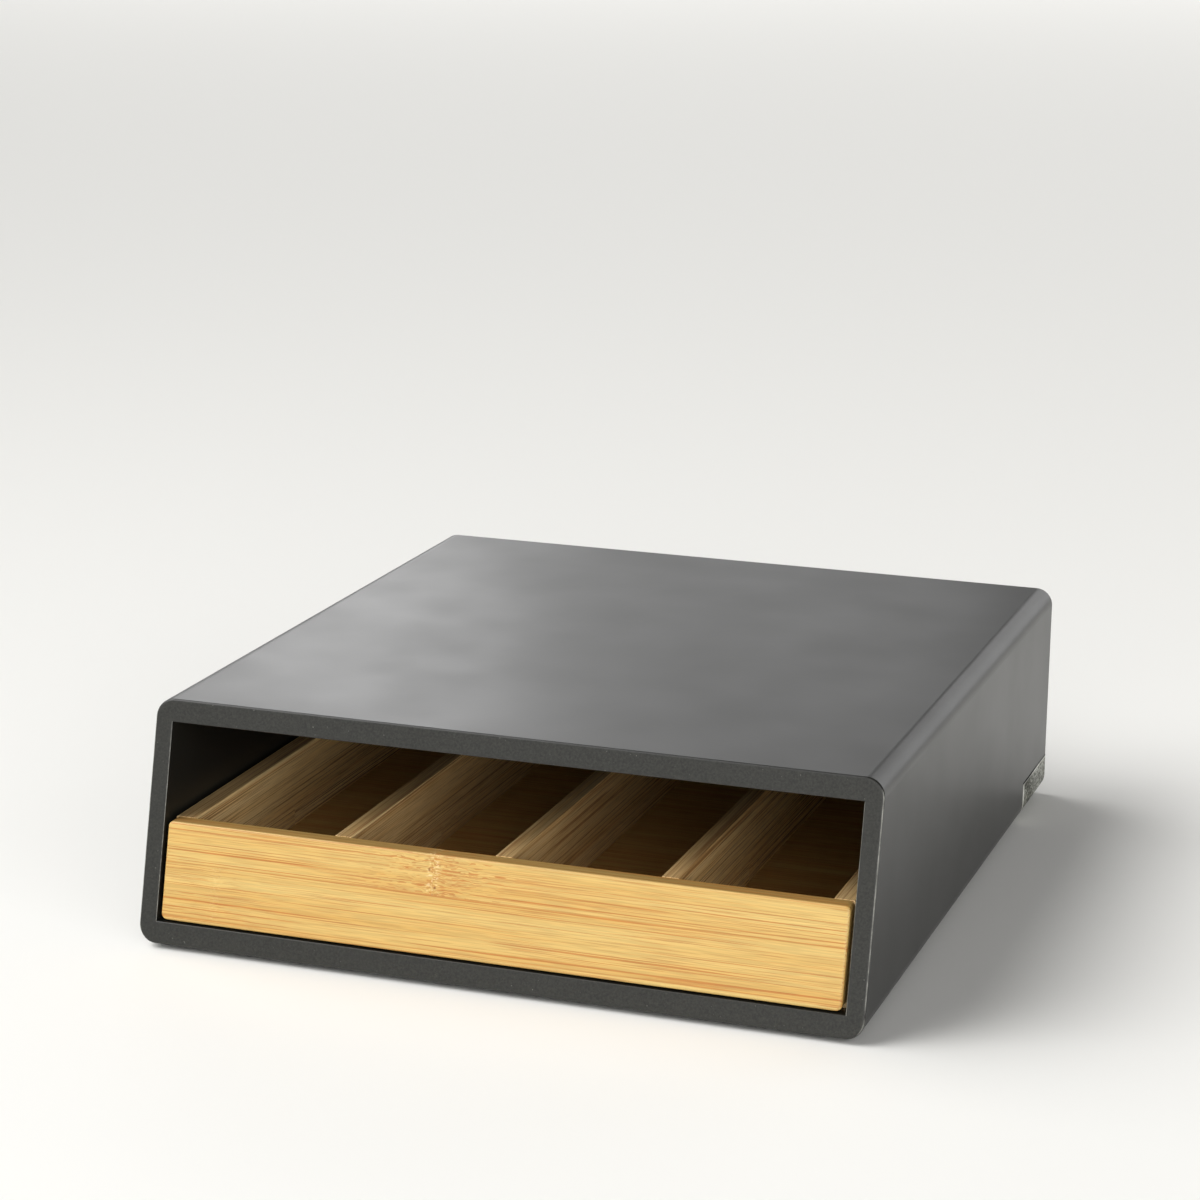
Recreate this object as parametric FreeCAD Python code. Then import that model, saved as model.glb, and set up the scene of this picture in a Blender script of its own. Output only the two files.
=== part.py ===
import FreeCAD, Part
import os

# Tea and capsule box: an open-fronted lacquered sleeve with a handleless bamboo drawer.
# Millimetres. +Z up, front towards -Y. The origin is under the middle of the box,
# on the surface that it stands on.

# Sleeve
housing_width = 300.0
housing_depth = 330.0       # along the bottom board, from its front edge to the rear
housing_height = 96.0       # without the pads
front_setback = 22.5        # how far the top front edge stands behind the bottom one
flat_board = 9.0            # top and bottom boards
side_board = 7.5
back_board = 5.0
back_rebate = 4.0           # depth of the rebate round the back board
back_play = 0.1             # round the back board in its rebate
corner_radius = 7.5         # the four long outer edges
outer_easing = 1.0          # round-over of the outer front and rear edges
inner_easing = 0.5          # round-over of the opening's edges

# Hidden glued dowels of the sleeve
dowel_diameter = 4.0
dowel_length = 16.0
dowel_in_face = 4.5         # the rest of the dowel stands in the other board's edge
dowel_end_gap = 0.5         # glue space past each end
dowel_play = 0.05           # round the dowel
dowels_per_edge = 3         # along each side board's edge
dowel_margin = 32.0         # first and last dowel from the ends of the top board

# Pads under the bottom board
pad_diameter = 14.0
pad_height = 2.0
pad_inset = 20.0            # pad centre from the board's edges

# Drawer outside
side_gap = 1.75             # between the drawer and each side board
closed_gap = 0.3            # between the shut drawer and the back board
front_lift = 0.8            # the front's lower edge over the sleeve's floor
drawer_height = 39.5        # from the sleeve's floor to the rim
front_thickness = 7.5       # along the drawer's length
drawer_side = 8.5
drawer_back = 8.5
back_inset = 4.0            # the sides run past the back by this much
front_lower_radius = 2.5
front_upper_radius = 2.2
front_easing = 1.1
rim_easing = 0.7
tail_radius = 3.0           # rear upper corners of the sides

# Drawer inside
divider_count = 3
divider_thickness = 7.2
divider_easing = 0.5
base_thickness = 4.0
base_rise = 3.0             # base panel's underside over the sides' lower edges
groove_depth = 3.5
groove_play = 0.1           # over the base panel and at its edges

# Stopped tongue and dado joints of the drawer
tongue_thickness = 3.6
tongue_length = 3.0
tongue_stop = 6.0           # below the rim
tongue_foot = 2.5           # above the base panel
dado_play = 0.05            # beside, above and below a tongue
dado_end_gap = 0.3          # past the tongue's end

# Worked out from the sizes above
half_width = housing_width / 2
front_end = -housing_depth / 2
rear_end = housing_depth / 2
underside = pad_height
top_side = underside + housing_height
floor = underside + flat_board
ceiling = top_side - flat_board
opening_half = half_width - side_board
back_face = rear_end - back_board

drawer_half = opening_half - side_gap
rim = floor + drawer_height
drawer_tail = back_face - closed_gap
inner_half = drawer_half - drawer_side
back_rear = drawer_tail - back_inset
back_front = back_rear - drawer_back
base_under = floor + base_rise
base_top = base_under + base_thickness
front_under = floor + front_lift
tongue_low = base_top + tongue_foot
tongue_high = rim - tongue_stop
bay = (2 * inner_half - divider_count * divider_thickness) / (divider_count + 1)


def lean(z):
    """Where the leaning front plane stands at height z."""
    return front_end + front_setback * (z - underside) / housing_height


def box(x0, x1, y0, y1, z0, z1):
    corner = FreeCAD.Vector(x0, y0, z0)
    return Part.makeBox(x1 - x0, y1 - y0, z1 - z0, corner)


def leaning_slab(x0, x1, near, far, z0, z1):
    """A slab from one line parallel to the front plane to another, or to a fixed y."""
    outline = [(near(z0), z0), (far(z0), z0), (far(z1), z1), (near(z1), z1)]
    points = [FreeCAD.Vector(x0, y, z) for y, z in outline]
    face = Part.Face(Part.makePolygon(points + points[:1]))
    return face.extrude(FreeCAD.Vector(x1 - x0, 0, 0))


def behind_front(distance):
    """The line that lies this far behind the leaning front plane."""
    return lambda z: lean(z) + distance


def fixed(y):
    return lambda z: y


def same(a, b):
    return abs(a - b) < 1e-4


def rounded(shape, radius, wanted):
    """Rounds the edges whose ends all pass the test."""
    edges = [e for e in shape.Edges if all(wanted(v.Point) for v in e.Vertexes)]
    return shape.makeFillet(radius, edges)


def rounded_along_y(shape, radius, wanted):
    """Rounds the edges that run front to back and whose ends all pass the test."""
    edges = [e for e in shape.Edges
             if abs(e.tangentAt(e.FirstParameter).y) > 0.999
             and all(wanted(v.Point) for v in e.Vertexes)]
    return shape.makeFillet(radius, edges)


# Sleeve

def sleeve():
    """The whole sleeve in one piece: leaning front, rounded long edges, eased rims."""
    block = leaning_slab(-half_width, half_width, lean, fixed(rear_end), underside, top_side)
    block = rounded_along_y(block, corner_radius, lambda p: True)
    block = rounded(block, outer_easing, lambda p: same(p.y, lean(p.z)))
    block = rounded(block, outer_easing, lambda p: same(p.y, rear_end))
    opening = leaning_slab(-opening_half, opening_half, behind_front(-back_board),
                           fixed(rear_end + back_board), floor, ceiling)
    shell = block.cut(opening)

    def on_mouth(p):
        return (same(p.y, lean(p.z)) and same(abs(p.x), opening_half)
                and (same(p.z, floor) or same(p.z, ceiling)))
    return rounded(shell, inner_easing, on_mouth)


def dowel_pair(point, direction):
    """A dowel across a joint at point, pointing into a board's face, and its hole."""
    into = FreeCAD.Vector(*direction)
    start = FreeCAD.Vector(*point) - into * (dowel_length - dowel_in_face)
    pin = Part.makeCylinder(dowel_diameter / 2, dowel_length, start, into)
    hole = Part.makeCylinder(dowel_diameter / 2 + dowel_play, dowel_length + 2 * dowel_end_gap,
                             start - into * dowel_end_gap, into)
    return pin, hole


def dowel_row(side, up):
    """Dowels along one edge of a side board. side is -1 or 1, up is -1 below, 1 above."""
    x = side * (half_width - side_board / 2)
    z = ceiling if up > 0 else floor
    first = lean(top_side) + dowel_margin
    step = (rear_end - dowel_margin - first) / (dowels_per_edge - 1)
    return [dowel_pair((x, first + i * step, z), (0, 0, up)) for i in range(dowels_per_edge)]


def pads():
    """Four thin round pads, named by their corners."""
    made = {}
    for end, y in (("front", front_end + pad_inset), ("rear", rear_end - pad_inset)):
        for side, x in (("left", pad_inset - half_width), ("right", half_width - pad_inset)):
            pad = Part.makeCylinder(pad_diameter / 2, pad_height, FreeCAD.Vector(x, y, 0))
            made["foot_pad_%s_%s" % (end, side)] = pad
    return made


def back_slab(play=0):
    """The back board in the rebate round it. With play it is the rebate."""
    side = opening_half + back_rebate + play
    return box(-side, side, back_face, rear_end,
               floor - back_rebate - play, ceiling + back_rebate + play)


def housing():
    """The sleeve cut into its boards, with the back board, dowels and pads."""
    dowels = {
        "lower_left_dowels": dowel_row(-1, -1),
        "upper_left_dowels": dowel_row(-1, 1),
        "lower_right_dowels": dowel_row(1, -1),
        "upper_right_dowels": dowel_row(1, 1),
    }
    holes = Part.makeCompound([hole for row in dowels.values() for pin, hole in row])
    shell = sleeve().cut(back_slab(back_play))

    def board(x0, x1, z0, z1):
        return shell.common(box(x0, x1, front_end, rear_end, z0, z1)).cut(holes)
    parts = {
        "bottom_board": board(-half_width, half_width, underside, floor),
        "top_board": board(-half_width, half_width, ceiling, top_side),
        "left_side_board": board(-half_width, -opening_half, floor, ceiling),
        "right_side_board": board(opening_half, half_width, floor, ceiling),
        "back_board": back_slab(),
    }
    for name, row in dowels.items():
        parts[name] = Part.makeCompound([pin for pin, hole in row])
    parts.update(pads())
    return parts


# Drawer

def groove():
    """The room that the base panel takes in the boards round it."""
    reach = inner_half + groove_depth + groove_play
    front = lean(base_under) + front_thickness - groove_depth - groove_play
    rear = back_front + groove_depth + groove_play
    return box(-reach, reach, front, rear, base_under, base_top + groove_play)


def front_tongue(x, play=0, end_gap=0):
    """A tongue into the leaning front, centred at x. With play it is its dado."""
    half = tongue_thickness / 2 + play
    near = behind_front(front_thickness - tongue_length - end_gap)
    return leaning_slab(x - half, x + half, near, behind_front(front_thickness),
                        tongue_low - play, tongue_high + play)


def rear_tongue(x, play=0, end_gap=0):
    """A divider's tongue into the drawer's back. With play it is its dado."""
    half = tongue_thickness / 2 + play
    return box(x - half, x + half, back_front, back_front + tongue_length + end_gap,
               tongue_low - play, tongue_high + play)


def end_tongue(side, play=0, end_gap=0):
    """A tongue of the drawer's back into a side. With play it is its dado."""
    middle = (back_front + back_rear) / 2
    half = tongue_thickness / 2 + play
    x0, x1 = sorted((side * inner_half, side * (inner_half + tongue_length + end_gap)))
    return box(x0, x1, middle - half, middle + half, tongue_low - play, tongue_high + play)


def dado(tongue, place):
    """The slot for a tongue, with its play and the glue space past its end."""
    return tongue(place, dado_play, dado_end_gap)


def divider_places():
    step = bay + divider_thickness
    first = step - inner_half - divider_thickness / 2
    return [first + i * step for i in range(divider_count)]


def side_tongue_place(side):
    return side * (inner_half + drawer_side / 2)


def drawer_front():
    """The leaning front: rounded corners and eased face, with dadoes and groove behind."""
    panel = leaning_slab(-drawer_half, drawer_half, lean, behind_front(front_thickness),
                         front_under, rim)
    panel = rounded_along_y(panel, front_lower_radius, lambda p: same(p.z, front_under))
    panel = rounded_along_y(panel, front_upper_radius, lambda p: same(p.z, rim))
    panel = rounded(panel, front_easing, lambda p: same(p.y, lean(p.z)))
    inner_rim = lean(rim) + front_thickness
    panel = rounded(panel, rim_easing, lambda p: same(p.z, rim) and same(p.y, inner_rim))
    cuts = [groove()]
    places = divider_places() + [side_tongue_place(side) for side in (-1, 1)]
    cuts += [dado(front_tongue, x) for x in places]
    return panel.cut(Part.makeCompound(cuts))


def drawer_side_board(side):
    """A side: rim eased, rear corner rounded, tongue in front, dado and groove inside."""
    x0, x1 = sorted((side * inner_half, side * drawer_half))
    board = leaning_slab(x0, x1, behind_front(front_thickness), fixed(drawer_tail), floor, rim)
    board = rounded(board, tail_radius, lambda p: same(p.z, rim) and same(p.y, drawer_tail))
    board = rounded_along_y(board, rim_easing, lambda p: same(p.z, rim))
    board = board.fuse(front_tongue(side_tongue_place(side)))
    return board.cut(Part.makeCompound([groove(), dado(end_tongue, side)]))


def drawer_back_board():
    """The back, between the sides, with a tongue at each end."""
    board = box(-inner_half, inner_half, back_front, back_rear, floor, rim)
    board = rounded(board, rim_easing, lambda p: same(p.z, rim) and same(p.y, back_rear))
    board = board.multiFuse([end_tongue(side) for side in (-1, 1)])
    cuts = [groove()] + [dado(rear_tongue, x) for x in divider_places()]
    return board.cut(Part.makeCompound(cuts))


def divider(x):
    """A divider that stands on the base panel, with a stub tongue at each end."""
    half = divider_thickness / 2
    board = leaning_slab(x - half, x + half, behind_front(front_thickness),
                         fixed(back_front), base_top, rim)
    board = rounded_along_y(board, divider_easing, lambda p: same(p.z, rim))
    return board.multiFuse([front_tongue(x), rear_tongue(x)])


def drawer_base():
    """The base panel, held in grooves on all four sides."""
    reach = inner_half + groove_depth
    front = lean(base_under) + front_thickness - groove_depth
    return box(-reach, reach, front, back_front + groove_depth, base_under, base_top)


def drawer():
    parts = {
        "drawer_front": drawer_front(),
        "drawer_left_side": drawer_side_board(-1),
        "drawer_right_side": drawer_side_board(1),
        "drawer_back": drawer_back_board(),
        "drawer_base": drawer_base(),
    }
    for name, x in zip(divider_names(), divider_places()):
        parts[name] = divider(x)
    return parts


def divider_names():
    """Plain names for three dividers, numbers for any other count."""
    if divider_count == 3:
        return ["left_divider", "middle_divider", "right_divider"]
    return ["divider_%d" % (i + 1) for i in range(divider_count)]


os.makedirs("parts", exist_ok=True)
for node, shape in {**housing(), **drawer()}.items():
    shape.exportStep("parts/%s.step" % node)
    solids = shape.Solids
    print(node, len(solids), round(sum(s.Volume for s in solids), 1), shape.isValid())
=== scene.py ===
import math
import bpy
from mathutils import Euler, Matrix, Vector


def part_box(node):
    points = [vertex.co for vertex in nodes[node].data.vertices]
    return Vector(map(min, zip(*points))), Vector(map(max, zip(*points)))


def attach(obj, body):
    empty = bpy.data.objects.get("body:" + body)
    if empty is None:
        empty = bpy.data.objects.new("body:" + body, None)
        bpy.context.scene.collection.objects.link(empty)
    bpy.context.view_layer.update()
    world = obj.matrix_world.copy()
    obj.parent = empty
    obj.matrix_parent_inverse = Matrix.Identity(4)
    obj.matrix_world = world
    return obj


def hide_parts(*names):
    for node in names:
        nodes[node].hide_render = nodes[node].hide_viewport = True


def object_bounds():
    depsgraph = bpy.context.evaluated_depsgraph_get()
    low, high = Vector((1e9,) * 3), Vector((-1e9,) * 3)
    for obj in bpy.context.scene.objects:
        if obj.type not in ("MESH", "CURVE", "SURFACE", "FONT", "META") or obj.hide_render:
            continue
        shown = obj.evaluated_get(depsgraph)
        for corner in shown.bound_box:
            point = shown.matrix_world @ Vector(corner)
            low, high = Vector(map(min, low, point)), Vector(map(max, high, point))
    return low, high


# Tea box: a black lacquered sleeve with a leaning open front, and a bamboo drawer with
# three dividers. Metres, +Z up, the front faces -Y. Sizes that belong to the box come
# from its frame, and the rest are named here in millimetres.

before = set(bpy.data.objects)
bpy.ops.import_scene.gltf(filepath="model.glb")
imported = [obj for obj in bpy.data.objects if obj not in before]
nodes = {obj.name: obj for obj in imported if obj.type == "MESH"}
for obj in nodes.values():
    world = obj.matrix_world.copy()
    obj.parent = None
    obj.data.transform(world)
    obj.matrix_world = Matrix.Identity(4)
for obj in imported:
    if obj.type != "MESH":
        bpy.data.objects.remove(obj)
frame_low, frame_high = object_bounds()
MM = 0.001

# Camera: the photograph's viewing angle, on an image 1200 wide and 1200 high
IMAGE_SIDE = 1200
FOCAL_PIXELS = 3219
SENSOR = 36.0
CAMERA_PLACE = (0.4220, -1.2535, 0.4591)
CAMERA_TURN = (75.54, -0.60, 19.27)

# Bamboo boards
STRIP_WIDTH = 21.5            # one pressed strip
PLY = 2.5                     # strips lie three deep in a board
FRONT_JOINT = 34.6            # height of the glue line across the drawer's front
KNUCKLE_PLACE = -26.0         # along the front, on its upper strip
KNUCKLE_DEPTH = 1.2           # its middle behind the front's face
KNUCKLE_STAGGER = 92.0        # from one strip's knuckle to the next strip's
KNUCKLE_PERIOD = 300.0        # from knuckle to knuckle along one strip
SWAY = 4.0                    # how far fibres wander from side to side at a knuckle
STRIP_SHIFT = (400.0, 60.0, 60.0)     # the most between one strip's fibres and another's
LENGTH_SHIFT = (37.0, 11.0, 13.0)     # between the fibres before and after a knuckle

# The sleeve's form, as its boards have it
SLEEVE_HEIGHT = 96.0
FRONT_SETBACK = 22.5          # how far the top front edge stands behind the bottom one
CORNER_RADIUS = 7.5           # the long rounded edges

# Fluted pins in the sleeve's corners
PINS_PER_EDGE = 3
PIN_DIAMETER = 4.0            # the tree's own, before the frame's is set
PIN_LENGTH = 16.0             # the same
PIN_SIDES = 48
PIN_RINGS = 16
PIN_FLUTES = 12
FLUTE_DEPTH = 0.15
PIN_CHAMFER = 0.6

# Pads
PAD_SPAN = (260.0, 290.0)     # from centre to centre: the tree's own, before the frame's
PAD_DIAMETER = 14.0           # the same
PAD_HEIGHT = 2.0              # the same
PAD_SIDES = 64
PAD_EASING = 0.5

# Pieces that a tree makes
EASING_STEPS = 4              # across an eased edge
SHARP_ANGLE = 40.0            # degrees from which an edge stays crisp

# Bare foil plate on the right side, in the lower rear corner
PLATE_FRONT = 116.0           # its front edge, measured along Y
PLATE_TOP = 19.4
PLATE_REAR_MARGIN = 0.9
PLATE_WRAP = 60.0             # degrees that it follows the rounded lower edge
WRAP_STEPS = 10
PLATE_THICKNESS = 0.08

# Studio
FLOOR_REACH = 40.0            # metres from the box to the floor's edges
SURROUND = 0.04               # brightness of the white all round


def linear(hex_colour):
    """An sRGB hex colour as linear red, green, blue and alpha."""
    parts = [int(hex_colour[i:i + 2], 16) / 255 for i in (1, 3, 5)]
    return [c / 12.92 if c <= 0.04045 else ((c + 0.055) / 1.055) ** 2.4 for c in parts] + [1.0]


def add(tree, kind, inputs=None, out=0, **settings):
    """Adds a node with its settings, fills or links its inputs, and gives one output."""
    node = tree.nodes.new(kind)
    for name, value in settings.items():
        setattr(node, name, value)
    for key, value in (inputs or {}).items():
        if isinstance(value, bpy.types.NodeSocket):
            tree.links.new(value, node.inputs[key])
        else:
            node.inputs[key].default_value = value
    return node.outputs[out] if len(node.outputs) else node


# Materials

def blank(name, **settings):
    """A new material with one shader, whose plain values are set on its own sockets."""
    material = bpy.data.materials.new(name)
    material.use_nodes = True
    tree = material.node_tree
    tree.nodes.clear()
    shader = tree.nodes.new("ShaderNodeBsdfPrincipled")
    for key, value in settings.items():
        shader.inputs[key.replace("_", " ")].default_value = value
    add(tree, "ShaderNodeOutputMaterial", {"Surface": shader.outputs[0]})
    return material, tree, shader


def millimetres(tree):
    """The place on the object in millimetres."""
    place = add(tree, "ShaderNodeTexCoord", out="Object")
    return add(tree, "ShaderNodeVectorMath", {0: place, "Scale": 1000.0}, operation="SCALE")


def grains(tree, place, size, low, high, detail=2.0, rough=0.5):
    """A soft mask of grains or fibres, whose size is given in millimetres along each axis.
    It goes from empty to full as the pattern goes from low to high."""
    steps = add(tree, "ShaderNodeVectorMath", {0: place, 1: size}, operation="DIVIDE")
    pattern = add(tree, "ShaderNodeTexNoise",
                  {"Vector": steps, "Scale": 1.0, "Detail": detail, "Roughness": rough})
    return add(tree, "ShaderNodeMapRange",
               {"Value": pattern, "From Min": low, "From Max": high})


def lacquer():
    """Satin black lacquer, sprayed and rubbed over fibreboard: a soft grey sheen with a
    faint orange peel, a drier and speckled look on the board's raw-cut front edges, and
    bright lines of painted highlight along the narrow eased rims, broken up like wear."""
    material, tree, shader = blank("satin_black_lacquer", IOR=1.5)
    place = millimetres(tree)
    facing = add(tree, "ShaderNodeTexCoord", out="Normal")
    facing = add(tree, "ShaderNodeSeparateXYZ", {0: facing}).node.outputs
    cut = add(tree, "ShaderNodeMapRange",
              {"Value": facing["Y"], "From Min": -0.6, "From Max": -0.9},
              interpolation_type="SMOOTHSTEP")

    # Real peel, grit and dust are finer than a millimetre, and are drawn coarser to show
    cloud = grains(tree, place, (45, 45, 45), 0.3, 0.7)
    peel = grains(tree, place, (1.3, 1.3, 1.3), 0.0, 1.0, 1.0)
    grit = grains(tree, place, (0.9, 0.9, 0.9), 0.35, 0.7, 3.0, 0.7)
    dust = grains(tree, place, (0.8, 0.8, 0.8), 0.84, 0.89, 0.0)

    tint = add(tree, "ShaderNodeMix", {"Factor": cloud, 6: linear("#1c1c19"), 7: linear("#1e1e1b")},
               out=2, data_type="RGBA")
    speck = add(tree, "ShaderNodeMath", {0: grit, 1: cut}, operation="MULTIPLY")
    colour = add(tree, "ShaderNodeMix", {"Factor": speck, 6: tint, 7: linear("#32322d")},
                 out=2, data_type="RGBA")
    fleck = add(tree, "ShaderNodeMath", {0: dust, 1: cut}, operation="MULTIPLY")
    colour = add(tree, "ShaderNodeMix", {"Factor": fleck, 6: colour, 7: linear("#6a6a63")},
                 out=2, data_type="RGBA")

    # On an upright rim the normal turns from the front plane to a side. A painted highlight is laid
    # along these eased rims, broken up like wear.
    turned = add(tree, "ShaderNodeMath", {0: facing["X"], 1: facing["Y"]}, operation="MULTIPLY")
    turned = add(tree, "ShaderNodeMath", {0: turned}, operation="ABSOLUTE")
    rim = add(tree, "ShaderNodeMapRange", {"Value": turned, "From Min": 0.36, "From Max": 0.46})
    painted_rim_highlight = grains(tree, place, (5, 5, 9), 0.30, 0.62, 4.0, 0.8)
    painted_rim_highlight = add(tree, "ShaderNodeMath", {0: painted_rim_highlight, 1: rim}, operation="MULTIPLY")
    colour = add(tree, "ShaderNodeMix", {"Factor": painted_rim_highlight, 6: colour, 7: linear("#94948d")},
                 out=2, data_type="RGBA")
    tree.links.new(colour, shader.inputs["Base Color"])

    rough = add(tree, "ShaderNodeMapRange", {"Value": cloud, "To Min": 0.29, "To Max": 0.33})
    rough = add(tree, "ShaderNodeMath", {0: cut, 1: 0.2, 2: rough}, operation="MULTIPLY_ADD")
    tree.links.new(rough, shader.inputs["Roughness"])

    relief = add(tree, "ShaderNodeMath", {0: speck, 1: peel}, operation="ADD")
    bump = add(tree, "ShaderNodeBump", {"Strength": 0.35, "Distance": 0.03 * MM, "Height": relief})
    tree.links.new(bump, shader.inputs["Normal"])
    return material


def layout(tree, place, order, seed):
    """Where a point lies in the pressed board: its strip and ply, how many millimetres it
    is from a glue line and a knuckle, and the fibres' own place, which differs from strip
    to strip."""
    axes = add(tree, "ShaderNodeSeparateXYZ", {0: place}).node
    along, across, through = (axes.outputs[a] for a in order)
    strip = add(tree, "ShaderNodeMath", {0: across, 1: STRIP_WIDTH}, operation="DIVIDE")
    strip = add(tree, "ShaderNodeMath", {0: strip}, operation="FLOOR")
    ply = add(tree, "ShaderNodeMath", {0: through, 1: PLY}, operation="DIVIDE")
    ply = add(tree, "ShaderNodeMath", {0: ply}, operation="FLOOR")
    label = add(tree, "ShaderNodeCombineXYZ", {0: strip, 1: ply, 2: seed})
    luck = add(tree, "ShaderNodeTexWhiteNoise", {"Vector": label}, out="Color")

    # Knuckles come at even steps along a strip, and each strip has its own start
    run = add(tree, "ShaderNodeMath", {0: strip, 1: -KNUCKLE_STAGGER, 2: along},
              operation="MULTIPLY_ADD")
    length = add(tree, "ShaderNodeMath", {0: run, 1: KNUCKLE_PERIOD}, operation="DIVIDE")
    length = add(tree, "ShaderNodeMath", {0: length}, operation="FLOOR")
    plain = add(tree, "ShaderNodeSeparateXYZ", {0: luck}).node.outputs
    anew = add(tree, "ShaderNodeMath", {0: plain["Z"], 1: 0.5}, operation="GREATER_THAN")
    anew = add(tree, "ShaderNodeMath", {0: anew, 1: length}, operation="MULTIPLY")
    jump = add(tree, "ShaderNodeVectorMath", {0: anew, 1: LENGTH_SHIFT},
               operation="MULTIPLY")
    grain = add(tree, "ShaderNodeCombineXYZ", {0: along, 1: across, 2: through})
    own = add(tree, "ShaderNodeVectorMath", {0: luck, 1: STRIP_SHIFT, 2: grain},
              operation="MULTIPLY_ADD")
    return {
        "luck": plain,
        "fibre": add(tree, "ShaderNodeVectorMath", {0: own, 1: jump}, operation="ADD"),
        "joint": add(tree, "ShaderNodeMath", {0: across, 1: STRIP_WIDTH / 2}, operation="PINGPONG"),
        "seam": add(tree, "ShaderNodeMath", {0: through, 1: PLY / 2}, operation="PINGPONG"),
        "knuckle": add(tree, "ShaderNodeMath", {0: run, 1: KNUCKLE_PERIOD / 2},
                       operation="PINGPONG"),
        "past": add(tree, "ShaderNodeMath", {0: run, 1: KNUCKLE_PERIOD},
                    operation="FLOORED_MODULO"),
    }


def bamboo(name, order, centre, seed, turn=0.0, pale="#d9b970", honey="#d0a559",
           vessel="#bb7430", dense=0.0, marked=1.0, rim=0.42):
    """Pressed bamboo strips under clear matt lacquer: pale straight fibres with thin amber
    vessel lines, a thin glue line between strips, and a mottled knuckle across a strip.
    order names the axes along the fibres, across the strips and through the board, centre
    is a point where a glue line passes a knuckle, dense brings more vessel lines, marked
    is how plain the knuckles are, and rim is how much painted shade darkens the faces
    that look up, standing in for the shade under the sleeve's top."""
    material, tree, shader = blank(name, IOR=1.5, Coat_Weight=0.12, Coat_Roughness=0.3)
    place = add(tree, "ShaderNodeMapping",
                {"Vector": millimetres(tree), "Location": centre, "Rotation": (turn, 0.0, 0.0)},
                vector_type="TEXTURE")
    board = layout(tree, place, order, seed)

    # Masks that fade with the distance from a glue line or a knuckle, in millimetres
    near = {}
    for key, line, full, gone in (
            ("core", "knuckle", 1.2, 3.6), ("halo", "knuckle", 3.0, 40.0),
            ("past", "past", 6.0, 20.0), ("joint", "joint", 0.12, 0.42),
            ("seam", "seam", 0.05, 0.4)):
        near[key] = add(tree, "ShaderNodeMapRange",
                        {"Value": board[line], "From Min": gone, "From Max": full},
                        interpolation_type="SMOOTHSTEP")
    strength = add(tree, "ShaderNodeMapRange",
                   {"Value": board["luck"]["Z"], "To Min": -0.1 * marked, "To Max": marked})
    for key in ("core", "halo", "past"):
        near[key] = add(tree, "ShaderNodeMath", {0: near[key], 1: strength},
                        operation="MULTIPLY")

    # Fibres sway where they pass the knuckle
    sway = grains(tree, board["fibre"], (9, 4, 4), 0.0, 1.0, 2.0)
    sway = add(tree, "ShaderNodeMath", {0: sway, 1: 0.5}, operation="SUBTRACT")
    sway = add(tree, "ShaderNodeMath", {0: sway, 1: near["halo"]}, operation="MULTIPLY")
    bend = add(tree, "ShaderNodeVectorMath", {0: sway, 1: (0.0, SWAY, SWAY)}, operation="MULTIPLY")
    fibre = add(tree, "ShaderNodeVectorMath", {0: board["fibre"], 1: bend}, operation="ADD")

    # Bundles of fibres are about 0.2 wide and are drawn two to five times as wide to show
    tone = grains(tree, fibre, (170, 5, 5), 0.3, 0.7)
    fine = grains(tree, fibre, (14, 0.5, 0.5), 0.4, 0.6, 1.0)
    band = grains(tree, fibre, (60, 1.3, 1.3), 0.3, 0.7, 1.0)
    hair = grains(tree, fibre, (50, 0.45, 0.45), 0.58 - dense, 0.62 - dense, 1.0)
    line = grains(tree, fibre, (130, 0.7, 0.7), 0.62 - dense, 0.64 - dense, 1.0)
    bold = grains(tree, fibre, (190, 1.1, 1.1), 0.66 - dense, 0.68 - dense, 1.0)
    dash = grains(tree, fibre, (9, 0.5, 0.5), 0.55, 0.62, 1.0)
    dash = add(tree, "ShaderNodeMath", {0: dash, 1: near["past"]}, operation="MULTIPLY")
    flame = grains(tree, fibre, (16, 1.6, 1.6), 0.50, 0.60)
    flame = add(tree, "ShaderNodeMath", {0: flame, 1: near["halo"]}, operation="MULTIPLY")

    # The knuckle itself is mottled with pale and brown, and has a few dark eyes
    mottle = {}
    for key, low, high in (("pale", 0.55, 0.62), ("brown", 0.45, 0.38)):
        mottle[key] = grains(tree, board["fibre"], (1.5, 0.8, 0.8), low, high, 1.0)
        mottle[key] = add(tree, "ShaderNodeMath", {0: mottle[key], 1: near["core"]},
                          operation="MULTIPLY")
    cells = add(tree, "ShaderNodeVectorMath", {0: board["fibre"], 1: (3.0, 3.2, 3.2)},
                operation="DIVIDE")
    cells = add(tree, "ShaderNodeTexVoronoi", {"Vector": cells, "Scale": 1.0})
    eye = add(tree, "ShaderNodeMapRange", {"Value": cells, "From Min": 0.22, "From Max": 0.14})
    eye = add(tree, "ShaderNodeMath", {0: eye, 1: near["core"]}, operation="MULTIPLY")

    # Painted shade: faces that look up are darkened towards brown (#4e2608) by rim, for the shade
    # under the sleeve's top
    upward = add(tree, "ShaderNodeTexCoord", out="Normal")
    upward = add(tree, "ShaderNodeSeparateXYZ", {0: upward}, out="Z")
    upward = add(tree, "ShaderNodeMapRange", {"Value": upward, "From Min": 0.8, "From Max": 1.0})

    colour = add(tree, "ShaderNodeMix", {"Factor": tone, 6: linear(honey), 7: linear(pale)},
                 out=2, data_type="RGBA")
    for mask, most, laid in ((upward, rim, "#4e2608"), (flame, 0.35, vessel),
                             (hair, 0.45, vessel), (line, 0.7, vessel), (bold, 0.8, vessel),
                             (dash, 0.7, vessel), (near["joint"], 0.55, "#b8762f"),
                             (near["seam"], 0.5, "#8a5a2a"), (mottle["pale"], 0.55, "#f8e3b0"),
                             (mottle["brown"], 0.6, "#b87a38"), (eye, 0.9, "#84501f")):
        mask = add(tree, "ShaderNodeMath", {0: mask, 1: most}, operation="MULTIPLY")
        colour = add(tree, "ShaderNodeMix", {"Factor": mask, 6: colour, 7: linear(laid)},
                     out=2, data_type="RGBA")

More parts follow.
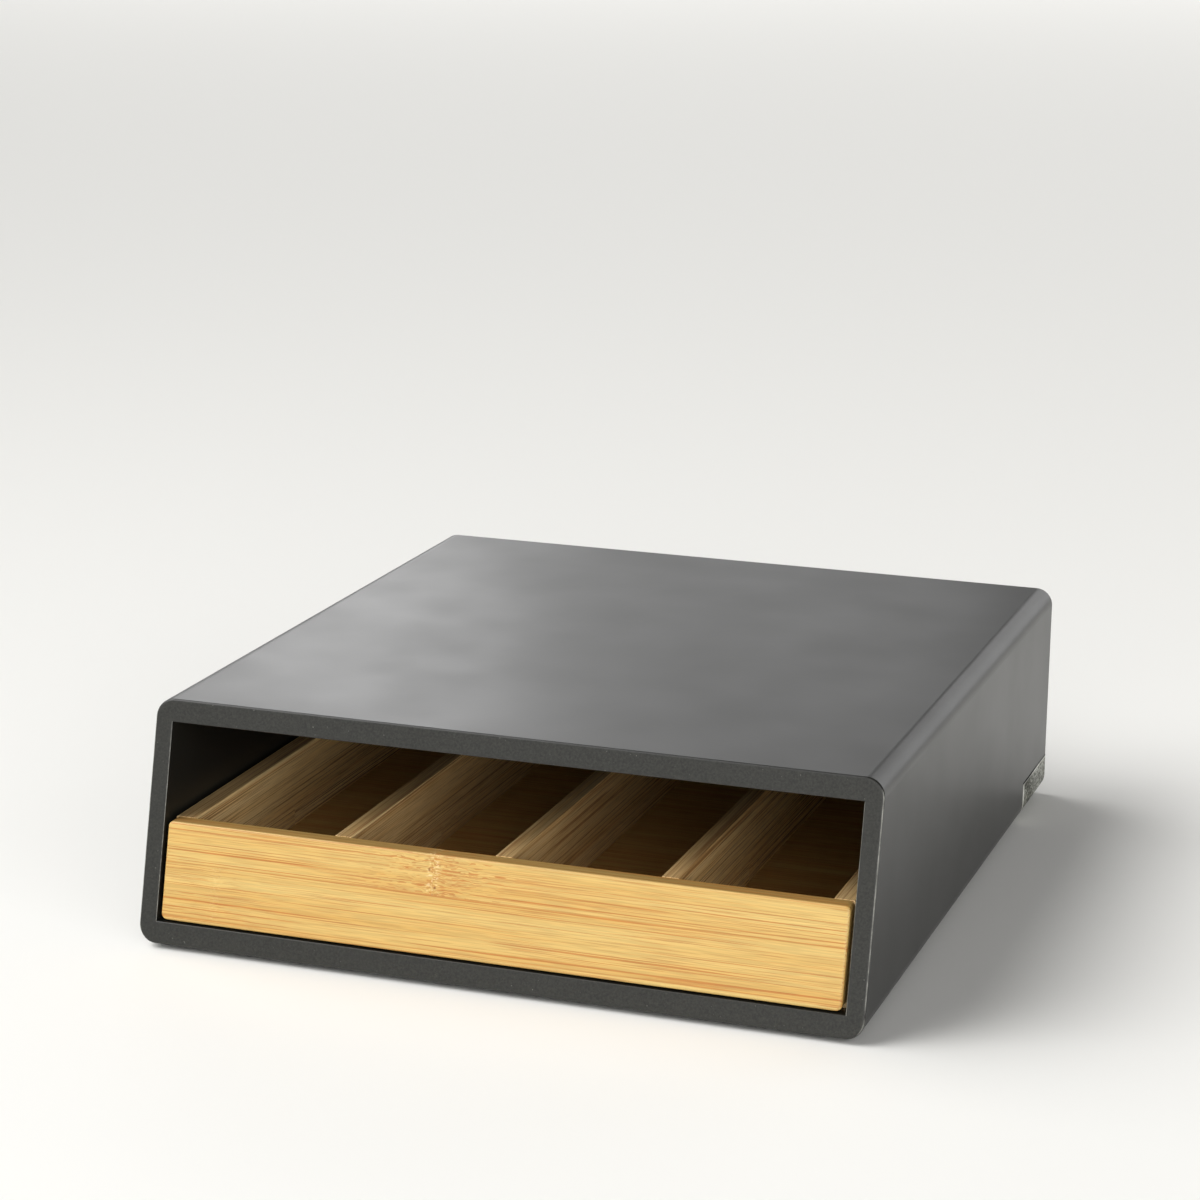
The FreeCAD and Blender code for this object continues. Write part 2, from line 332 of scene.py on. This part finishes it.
    # Light and dark from fibre to fibre, and from strip to strip
    shade = add(tree, "ShaderNodeMapRange", {"Value": fine, "To Min": 0.9, "To Max": 1.04})
    strip_shade = add(tree, "ShaderNodeMapRange",
                      {"Value": board["luck"]["Y"], "To Min": 0.96, "To Max": 1.02})
    band_shade = add(tree, "ShaderNodeMapRange", {"Value": band, "To Min": 0.97, "To Max": 1.01})
    shade = add(tree, "ShaderNodeMath", {0: shade, 1: strip_shade}, operation="MULTIPLY")
    shade = add(tree, "ShaderNodeMath", {0: shade, 1: band_shade}, operation="MULTIPLY")
    colour = add(tree, "ShaderNodeVectorMath", {0: colour, "Scale": shade}, operation="SCALE")
    tree.links.new(colour, shader.inputs["Base Color"])

    rough = add(tree, "ShaderNodeMapRange", {"Value": fine, "To Min": 0.52, "To Max": 0.42})
    tree.links.new(rough, shader.inputs["Roughness"])
    relief = add(tree, "ShaderNodeMath", {0: line, 1: -0.6, 2: fine}, operation="MULTIPLY_ADD")
    bump = add(tree, "ShaderNodeBump", {"Strength": 0.4, "Distance": 0.04 * MM, "Height": relief})
    tree.links.new(bump, shader.inputs["Normal"])
    return material


def beech():
    """Turned beech pins, raw: warm pinkish wood, dry and dull, with short dark flecks."""
    material, tree, shader = blank("raw_beech", IOR=1.5, Roughness=0.7)
    place = millimetres(tree)

    # Pores and flecks are drawn twice as wide as real ones, which wouldn't show
    grain = grains(tree, place, (0.5, 0.5, 9.0), 0.0, 1.0)
    fleck = grains(tree, place, (0.25, 0.25, 1.6), 0.60, 0.75, 1.0)
    colour = add(tree, "ShaderNodeMix", {"Factor": grain, 6: linear("#c99a6b"), 7: linear("#dcb58a")},
                 out=2, data_type="RGBA")
    colour = add(tree, "ShaderNodeMix", {"Factor": fleck, 6: colour, 7: linear("#a6774d")},
                 out=2, data_type="RGBA")
    tree.links.new(colour, shader.inputs["Base Color"])
    bump = add(tree, "ShaderNodeBump", {"Strength": 0.5, "Distance": 0.05 * MM, "Height": grain})
    tree.links.new(bump, shader.inputs["Normal"])
    return material


def rubber():
    """Moulded black rubber: dull, with a fine even grit that stops it slipping."""
    material, tree, shader = blank("moulded_black_rubber", IOR=1.52)

    # The grit of a mould is near 0.1 and is drawn three times as coarse to show
    grit = grains(tree, millimetres(tree), (0.3, 0.3, 0.3), 0.0, 1.0, 2.0, 0.6)
    colour = add(tree, "ShaderNodeMix", {"Factor": grit, 6: linear("#1b1b1b"), 7: linear("#2e2d2c")},
                 out=2, data_type="RGBA")
    tree.links.new(colour, shader.inputs["Base Color"])
    rough = add(tree, "ShaderNodeMapRange", {"Value": grit, "To Min": 0.7, "To Max": 0.9})
    tree.links.new(rough, shader.inputs["Roughness"])
    bump = add(tree, "ShaderNodeBump", {"Strength": 0.6, "Distance": 0.08 * MM, "Height": grit})
    tree.links.new(bump, shader.inputs["Normal"])
    return material


def foil():
    """Thin aluminium foil, stuck on, rubbed and soiled: a blotched, half matt dark grey with
    a painted highlight along its front and upper edges and a painted shadow line along its top."""
    material, tree, shader = blank("rubbed_aluminium_foil", Metallic=1.0)
    place = millimetres(tree)

    # Rubbed spots are drawn a few times as large as real ones, which wouldn't show
    blotch = grains(tree, place, (1.2, 2.4, 1.2), 0.40, 0.60, 3.0, 0.75)
    stain = grains(tree, place, (5.0, 8.0, 5.0), 0.40, 0.60)
    axes = add(tree, "ShaderNodeSeparateXYZ", {0: place}).node.outputs
    # A painted highlight (#eeeee6) along the front and upper edges, and a painted shadow line
    # (#161614) along the very top
    upper = add(tree, "ShaderNodeMapRange",
                {"Value": axes["Z"], "From Min": PLATE_TOP - 1.5, "From Max": PLATE_TOP - 1.2})
    front = add(tree, "ShaderNodeMapRange",
                {"Value": axes["Y"], "From Min": PLATE_FRONT + 2.4, "From Max": PLATE_FRONT + 1.6})
    painted_edge_highlight = add(tree, "ShaderNodeMath", {0: upper, 1: front}, operation="MAXIMUM")
    painted_top_shadow = add(tree, "ShaderNodeMapRange",
               {"Value": axes["Z"], "From Min": PLATE_TOP - 0.8, "From Max": PLATE_TOP - 0.6})
    colour = add(tree, "ShaderNodeMix",
                 {"Factor": blotch, 6: linear("#63645c"), 7: linear("#c6c7bd")},
                 out=2, data_type="RGBA")
    for mask, most, laid in ((stain, 0.5, "#4c4d47"), (painted_edge_highlight, 0.7, "#eeeee6"),
                             (painted_top_shadow, 1.0, "#161614")):
        mask = add(tree, "ShaderNodeMath", {0: mask, 1: most}, operation="MULTIPLY")
        colour = add(tree, "ShaderNodeMix", {"Factor": mask, 6: colour, 7: linear(laid)},
                     out=2, data_type="RGBA")
    tree.links.new(colour, shader.inputs["Base Color"])
    rough = add(tree, "ShaderNodeMapRange", {"Value": blotch, "To Min": 0.65, "To Max": 0.45})
    tree.links.new(rough, shader.inputs["Roughness"])
    bump = add(tree, "ShaderNodeBump", {"Strength": 0.4, "Distance": 0.03 * MM, "Height": blotch})
    tree.links.new(bump, shader.inputs["Normal"])
    return material


# Shape trees

def shape_tree(name, sizes):
    """A tree with one named input for each size. Gives the tree and its inputs by name."""
    tree = bpy.data.node_groups.new(name, "GeometryNodeTree")
    tree.interface.new_socket("Geometry", in_out="OUTPUT", socket_type="NodeSocketGeometry")
    kinds = {int: "NodeSocketInt", float: "NodeSocketFloat", Vector: "NodeSocketVector"}
    for label, value in sizes.items():
        socket = tree.interface.new_socket(label, in_out="INPUT", socket_type=kinds[type(value)])
        socket.default_value = value
    entry = tree.nodes.new("NodeGroupInput")
    return tree, entry.outputs


def close_tree(tree, geometry, material):
    """Ends a shape tree: real geometry and its material."""
    real = add(tree, "GeometryNodeRealizeInstances", {"Geometry": geometry})
    dressed = add(tree, "GeometryNodeSetMaterial", {"Geometry": real, "Material": material})
    add(tree, "NodeGroupOutput", {0: dressed})


def grow(name, tree, sizes, edge=0.0):
    """An object from a shape tree with these sizes, as a plain mesh, its edges eased."""
    thing = bpy.data.objects.new(name, bpy.data.meshes.new(name))
    bpy.context.scene.collection.objects.link(thing)
    shaper = thing.modifiers.new("shape", "NODES")
    shaper.node_group = tree
    sockets = {s.name: s.identifier for s in tree.interface.items_tree if s.in_out == "INPUT"}
    for label, value in sizes.items():
        shaper[sockets[label]] = value
    if edge:
        easing = thing.modifiers.new("easing", "BEVEL")
        easing.width = edge
        easing.segments = EASING_STEPS
        easing.limit_method = "ANGLE"
    bpy.context.view_layer.update()
    ready = thing.evaluated_get(bpy.context.evaluated_depsgraph_get())
    thing.data = bpy.data.meshes.new_from_object(ready)
    thing.modifiers.clear()
    thing.data.name = name
    thing.data.shade_smooth()
    thing.data.set_sharp_from_angle(angle=math.radians(SHARP_ANGLE))
    return thing


def pin_tree(material):
    """A row of fluted pins with chamfered ends, upright at even steps."""
    tree, size = shape_tree("fluted_pins", {
        "Count": PINS_PER_EDGE, "Start": Vector(), "Step": Vector(),
        "Diameter": PIN_DIAMETER * MM, "Length": PIN_LENGTH * MM,
        "Flutes": float(PIN_FLUTES), "Flute Depth": FLUTE_DEPTH * MM, "Chamfer": PIN_CHAMFER * MM})
    radius = add(tree, "ShaderNodeMath", {0: size["Diameter"], 1: 0.5}, operation="MULTIPLY")
    pin = add(tree, "GeometryNodeMeshCylinder",
              {"Vertices": PIN_SIDES, "Side Segments": PIN_RINGS, "Radius": radius,
               "Depth": size["Length"]})
    place = add(tree, "GeometryNodeInputPosition")
    axes = add(tree, "ShaderNodeSeparateXYZ", {0: place}).node

    # How far a point is from the nearer end, against the chamfer
    reach = add(tree, "ShaderNodeMath", {0: axes.outputs["Z"]}, operation="ABSOLUTE")
    half = add(tree, "ShaderNodeMath", {0: size["Length"], 1: 0.5}, operation="MULTIPLY")
    inset = add(tree, "ShaderNodeMath", {0: half, 1: reach}, operation="SUBTRACT")
    end = add(tree, "ShaderNodeMapRange",
              {"Value": inset, "From Min": 0.0, "From Max": size["Chamfer"],
               "To Min": size["Chamfer"], "To Max": 0.0})

    # Flutes: the radius falls and rises round the pin
    angle = add(tree, "ShaderNodeMath", {0: axes.outputs["Y"], 1: axes.outputs["X"]},
                operation="ARCTAN2")
    angle = add(tree, "ShaderNodeMath", {0: angle, 1: size["Flutes"]}, operation="MULTIPLY")
    wave = add(tree, "ShaderNodeMath", {0: angle}, operation="COSINE")
    wave = add(tree, "ShaderNodeMapRange",
               {"Value": wave, "From Min": -1.0, "From Max": 0.6,
                "To Min": size["Flute Depth"], "To Max": 0.0})
    cut = add(tree, "ShaderNodeMath", {0: end, 1: wave}, operation="ADD")
    kept = add(tree, "ShaderNodeMath", {0: radius, 1: cut}, operation="SUBTRACT")
    kept = add(tree, "ShaderNodeMath", {0: kept, 1: radius}, operation="DIVIDE")
    flat = add(tree, "ShaderNodeCombineXYZ", {0: kept, 1: kept, 2: 1.0})
    moved = add(tree, "ShaderNodeVectorMath", {0: place, 1: flat}, operation="MULTIPLY")
    pin = add(tree, "GeometryNodeSetPosition", {"Geometry": pin, "Position": moved})

    row = add(tree, "GeometryNodeMeshLine",
              {"Count": size["Count"], "Start Location": size["Start"], "Offset": size["Step"]})
    pins = add(tree, "GeometryNodeInstanceOnPoints", {"Points": row, "Instance": pin})
    close_tree(tree, pins, material)
    return tree


def pad_tree(material):
    """Round pads on the corners of an oblong."""
    tree, size = shape_tree("corner_pads", {
        "Width": PAD_SPAN[0] * MM, "Depth": PAD_SPAN[1] * MM, "Centre": Vector(),
        "Diameter": PAD_DIAMETER * MM, "Height": PAD_HEIGHT * MM})
    radius = add(tree, "ShaderNodeMath", {0: size["Diameter"], 1: 0.5}, operation="MULTIPLY")
    pad = add(tree, "GeometryNodeMeshCylinder",
              {"Vertices": PAD_SIDES, "Radius": radius, "Depth": size["Height"]})
    corners = add(tree, "GeometryNodeMeshGrid",
                  {"Size X": size["Width"], "Size Y": size["Depth"], "Vertices X": 2, "Vertices Y": 2})
    corners = add(tree, "GeometryNodeTransform",
                  {"Geometry": corners, "Translation": size["Centre"]})
    placed = add(tree, "GeometryNodeInstanceOnPoints", {"Points": corners, "Instance": pad})
    close_tree(tree, placed, material)
    return tree


# Pieces

def pin_rows(material):
    """Fluted pins in place of each plain row, with its own size and places."""
    tree = pin_tree(material)
    for name in sorted(n for n in nodes if n.endswith("_dowels")):
        low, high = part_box(name)
        radius = (high.x - low.x) / 2
        middle = (low + high) / 2
        step = (high.y - low.y - 2 * radius) / (PINS_PER_EDGE - 1)
        row = grow(name.replace("dowels", "fluted_pins"), tree, {
            "Count": PINS_PER_EDGE, "Start": Vector((middle.x, low.y + radius, middle.z)),
            "Step": Vector((0.0, step, 0.0)), "Diameter": 2 * radius, "Length": high.z - low.z})
        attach(row, "housing")
        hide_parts(name)


def corner_pads(material):
    """Four pads with eased edges, in place of the plain ones."""
    near_low, near_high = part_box("foot_pad_front_left")
    far_low, far_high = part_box("foot_pad_rear_right")
    near, far = (near_low + near_high) / 2, (far_low + far_high) / 2
    pads = grow("corner_pads", pad_tree(material), {
        "Width": far.x - near.x, "Depth": far.y - near.y, "Centre": (near + far) / 2,
        "Diameter": near_high.x - near_low.x, "Height": near_high.z - near_low.z},
        edge=PAD_EASING * MM)
    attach(pads, "housing")
    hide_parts(*[n for n in nodes if n.startswith("foot_pad_")])


def foil_plate(material):
    """A bare foil plate on the right side, which follows the rounded lower edge."""
    low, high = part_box("bottom_board")
    radius = CORNER_RADIUS * MM
    turn_height = low.z + radius
    outline = [(high.x, PLATE_TOP * MM)]
    for i in range(WRAP_STEPS + 1):
        a = math.radians(PLATE_WRAP) * i / WRAP_STEPS
        outline.append((high.x - radius + radius * math.cos(a), turn_height - radius * math.sin(a)))
    ends = (PLATE_FRONT * MM, high.y - PLATE_REAR_MARGIN * MM)
    verts = [(x, y, z) for x, z in outline for y in ends]
    faces = [(2 * i, 2 * i + 2, 2 * i + 3, 2 * i + 1) for i in range(len(outline) - 1)]
    mesh = bpy.data.meshes.new("bare_plate")
    mesh.from_pydata(verts, [], faces)
    mesh.shade_smooth()
    mesh.materials.append(material)
    plate = bpy.data.objects.new("bare_plate", mesh)
    bpy.context.scene.collection.objects.link(plate)
    wall = plate.modifiers.new("thickness", "SOLIDIFY")
    wall.thickness = PLATE_THICKNESS * MM
    wall.offset = 1.0
    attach(plate, "housing")


def dress(names, material):
    """Gives frame nodes their finish."""
    for name in names:
        mesh = nodes[name].data
        mesh.materials.clear()
        mesh.materials.append(material)


# Studio

def lamp(name, kind, azimuth, rise, distance, **settings):
    """A light that faces the box: degrees from the front towards the right, degrees above
    the floor, and metres away."""
    a, e = math.radians(azimuth), math.radians(rise)
    out = Vector((math.sin(a) * math.cos(e), -math.cos(a) * math.cos(e), math.sin(e)))
    data = bpy.data.lights.new(name, kind)
    for key, value in settings.items():
        setattr(data, key, value)
    holder = bpy.data.objects.new(name, data)
    holder.location = out * distance
    holder.rotation_euler = out.to_track_quat("Z", "Y").to_euler()
    bpy.context.scene.collection.objects.link(holder)


def studio():
    """A pale floor under two broad suns and a small near light from the left, a very large
    soft key from the front right that reaches into the opening, and wide lights far behind,
    which the lacquered top and its long rounded edge give back as their sheen."""
    corners = ((-1, -1), (1, -1), (1, 1), (-1, 1))
    floor = bpy.data.meshes.new("floor")
    floor.from_pydata([(x * FLOOR_REACH, y * FLOOR_REACH, 0) for x, y in corners],
                      [], [(0, 1, 2, 3)])
    paper, _, shader = blank("matt_white_paper", Roughness=0.9)
    shader.inputs["Base Color"].default_value = linear("#f1f0ec")
    floor.materials.append(paper)
    ground = bpy.data.objects.new("floor", floor)
    bpy.context.scene.collection.objects.link(ground)

    world = bpy.data.worlds.new("studio")
    world.use_nodes = True
    world.node_tree.nodes["Background"].inputs["Color"].default_value = linear("#ffffff")
    world.node_tree.nodes["Background"].inputs["Strength"].default_value = SURROUND
    bpy.context.scene.world = world

    lamp("overhead", "SUN", 265, 50, 3.0, energy=1.7, angle=math.radians(50))
    lamp("window", "SUN", 305, 43, 3.0, energy=0.95, angle=math.radians(45))
    lamp("near_left", "AREA", 310, 42, 1.8, energy=9, shape="RECTANGLE", size=1.0, size_y=1.0)
    lamp("key", "AREA", 36, 19, 4.0, energy=138, shape="RECTANGLE", size=6.4, size_y=2.8)
    lamp("rear_left", "AREA", 210, 17, 9.0, energy=44, shape="RECTANGLE", size=2.6, size_y=3.0)
    lamp("rear_middle", "AREA", 199, 16, 9.0, energy=25, shape="RECTANGLE", size=2.6, size_y=3.0)
    lamp("rear_right", "AREA", 163, 14, 9.0, energy=135, shape="RECTANGLE", size=7.6, size_y=4.0)
    bpy.context.scene.view_settings.view_transform = "Standard"


def camera():
    """A camera with the photograph's viewing angle and no shift."""
    data = bpy.data.cameras.new("camera")
    data.sensor_width = SENSOR
    data.lens = SENSOR * FOCAL_PIXELS / IMAGE_SIDE
    holder = bpy.data.objects.new("camera", data)
    holder.location = CAMERA_PLACE
    holder.rotation_euler = Euler([math.radians(a) for a in CAMERA_TURN], "XYZ")
    bpy.context.scene.collection.objects.link(holder)
    bpy.context.scene.camera = holder


camera()
studio()

lean = math.atan(FRONT_SETBACK / SLEEVE_HEIGHT)
front_y = frame_low.y / MM + FRONT_SETBACK * (FRONT_JOINT / SLEEVE_HEIGHT)
dress([n for n in nodes if n.endswith("_board")], lacquer())
dress(["drawer_front"],
      bamboo("honey_bamboo_front", "XZY", turn=-lean, seed=5.0,
             centre=(KNUCKLE_PLACE, front_y + KNUCKLE_DEPTH, FRONT_JOINT)))
# The walls are the front's bamboo with denser fibre lines. Their paler colour is painted light, which
# brightens the walls that sit in the opening's shade
dress(["drawer_left_side", "drawer_right_side", "left_divider", "middle_divider", "right_divider"],
      bamboo("pressed_bamboo_side", "YZX", centre=(0.9, 40.0, 27.0), seed=5.0, pale="#fadb9f",
             honey="#f0c886", vessel="#a07040", dense=0.02, marked=0.3))
dress(["drawer_back"],
      bamboo("pressed_bamboo_back", "XZY", centre=(60.0, 0.7, 30.0), seed=7.0, dense=0.03,
             marked=0.6))
dress(["drawer_base"],
      bamboo("pressed_bamboo_base", "XYZ", centre=(20.0, 4.0, 0.6), seed=9.0, dense=0.03,
             marked=0.6, rim=0.0))
pin_rows(beech())
corner_pads(rubber())
foil_plate(foil())
